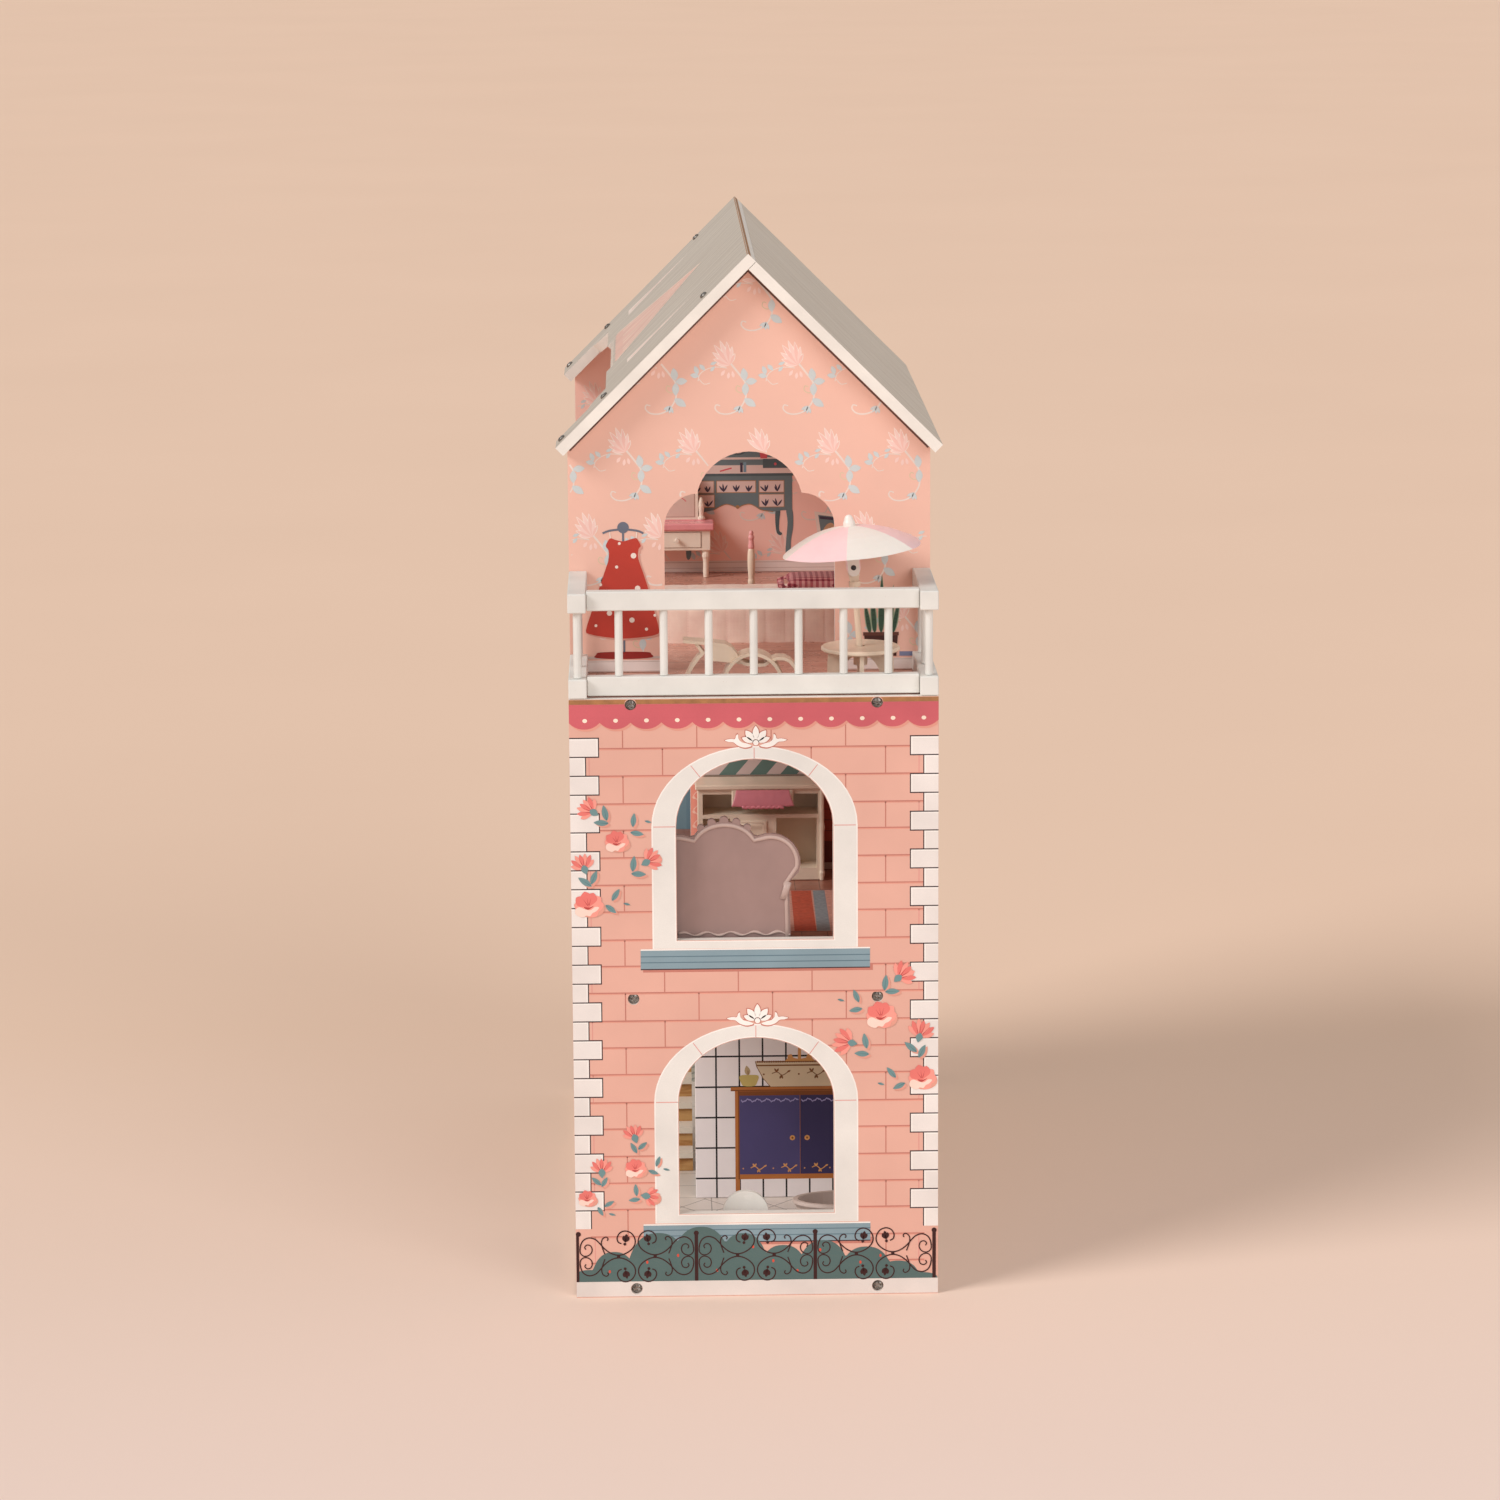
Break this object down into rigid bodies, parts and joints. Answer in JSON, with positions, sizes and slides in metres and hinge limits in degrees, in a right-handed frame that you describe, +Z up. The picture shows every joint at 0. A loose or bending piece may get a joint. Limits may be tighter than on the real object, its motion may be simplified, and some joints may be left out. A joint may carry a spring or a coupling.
{
  "type": "dollhouse",
  "caption": "Tall wooden dollhouse with gable roof, arched windows, open play side, railed balcony with a tilting umbrella, and loose furniture.",
  "frame": {"origin": "centre of the footprint's bounding box, on the floor", "axes": "+Z up; -Y is the narrow end with the two arched windows and the balcony; -X is the open play side"},
  "size_m": [0.2872, 0.6, 0.7686],
  "materials": {
    "salmon_print": "printed paper on MDF, satin",
    "white_lacquer": "painted MDF and dowel, satin",
    "roof_print": "printed paper on MDF, satin",
    "floor_print": "printed paper on MDF, satin",
    "tile_print": "printed paper on MDF, satin",
    "cream_plastic": "moulded, semi-gloss",
    "white_plastic": "moulded, gloss",
    "canopy_plastic": "moulded, printed panels",
    "mauve_plastic": "moulded, pearl",
    "quilt_cotton": "quilted cotton",
    "gingham_cotton": "woven check",
    "screw_steel": "nickel-plated"
  },
  "bodies": {
    "house": {"attic_floor": "floor_print", "attic_front_gable": "salmon_print", "attic_rear_gable": "salmon_print", "back_panel_attic": "salmon_print", "back_panel_lower": "salmon_print", "base_board": "floor_print", "first_floor_partition": "white_lacquer", "front_bottom_rail": "white_lacquer", "front_end_wall": "salmon_print", "front_spindle_1": "white_lacquer", "front_spindle_2": "white_lacquer", "front_spindle_3": "white_lacquer", "front_spindle_4": "white_lacquer", "front_spindle_5": "white_lacquer", "front_spindle_6": "white_lacquer", "front_spindle_7": "white_lacquer", "front_top_rail": "white_lacquer", "ground_partition": "tile_print", "left_bottom_rail": "white_lacquer", "left_spindle_1": "white_lacquer", "left_spindle_2": "white_lacquer", "left_spindle_3": "white_lacquer", "left_top_rail": "white_lacquer", "mid_floor": "floor_print", "rear_end_wall": "salmon_print", "right_bottom_rail": "white_lacquer", "right_spindle_1": "white_lacquer", "right_spindle_2": "white_lacquer", "right_spindle_3": "white_lacquer", "right_top_rail": "white_lacquer", "roof_panel_left": "roof_print", "roof_panel_right": "roof_print", "roof_screw_1": "screw_steel", "roof_screw_2": "screw_steel", "roof_screw_3": "screw_steel", "roof_screw_4": "screw_steel", "roof_screw_5": "screw_steel", "roof_screw_6": "screw_steel", "staircase": "cream_plastic", "wall_screw_1": "screw_steel", "wall_screw_2": "screw_steel", "wall_screw_3": "screw_steel", "wall_screw_4": "screw_steel", "wall_screw_5": "screw_steel", "wall_screw_6": "screw_steel"},
    "table": {"balcony_table": "cream_plastic"},
    "umbrella_pole": {"umbrella_pole": "cream_plastic"},
    "umbrella_canopy": {"umbrella_canopy": "canopy_plastic"},
    "lounge_chair": {"lounge_chair": "cream_plastic"},
    "vanity": {"vanity_table": "cream_plastic"},
    "drawer": {"vanity_drawer": "cream_plastic"},
    "bed": {"bed_frame": "cream_plastic", "bed_quilt": "quilt_cotton", "bed_pillow": "gingham_cotton"},
    "coat_stand": {"coat_stand": "cream_plastic"},
    "hutch": {"hutch": "cream_plastic"},
    "crown_bed": {"crown_bed": "mauve_plastic"},
    "toilet": {"toilet": "white_plastic"},
    "toilet_lid": {"toilet_lid": "white_plastic"},
    "bathtub": {"bathtub": "white_plastic"}
  },
  "joints": [
    {"name": "table_lift", "type": "slide", "parent": "house", "child": "table", "axis": [0, 0, 1], "range_m": [0, 0.03]},
    {"name": "umbrella_lift", "type": "slide", "parent": "table", "child": "umbrella_pole", "axis": [-0.0729, 0, 0.9973], "range_m": [0, 0.03]},
    {"name": "umbrella_tilt", "type": "hinge", "parent": "umbrella_pole", "child": "umbrella_canopy", "pos_m": [0.0752, -0.246, 0.5412], "axis": [0, 1, 0], "range_deg": [-20, 20]},
    {"name": "chair_lift", "type": "slide", "parent": "house", "child": "lounge_chair", "axis": [0, 0, 1], "range_m": [0, 0.05]},
    {"name": "vanity_pull", "type": "slide", "parent": "house", "child": "vanity", "axis": [-1, 0, 0], "range_m": [0, 0.12]},
    {"name": "drawer_slide", "type": "slide", "parent": "vanity", "child": "drawer", "axis": [0, -1, 0], "range_m": [0, 0.018]},
    {"name": "bed_pull", "type": "slide", "parent": "house", "child": "bed", "axis": [-1, 0, 0], "range_m": [0, 0.18]},
    {"name": "stand_pull", "type": "slide", "parent": "house", "child": "coat_stand", "axis": [-1, 0, 0], "range_m": [0, 0.12]},
    {"name": "hutch_pull", "type": "slide", "parent": "house", "child": "hutch", "axis": [-1, 0, 0], "range_m": [0, 0.15]},
    {"name": "crown_bed_pull", "type": "slide", "parent": "house", "child": "crown_bed", "axis": [-1, 0, 0], "range_m": [0, 0.15]},
    {"name": "toilet_pull", "type": "slide", "parent": "house", "child": "toilet", "axis": [-1, 0, 0], "range_m": [0, 0.1]},
    {"name": "toilet_lid_hinge", "type": "hinge", "parent": "toilet", "child": "toilet_lid", "pos_m": [-0.0078, -0.267, 0.0388], "axis": [-1, 0, 0], "range_deg": [0, 95]},
    {"name": "tub_pull", "type": "slide", "parent": "house", "child": "bathtub", "axis": [0, 1, 0], "range_m": [0, 0.12]}
  ]
}
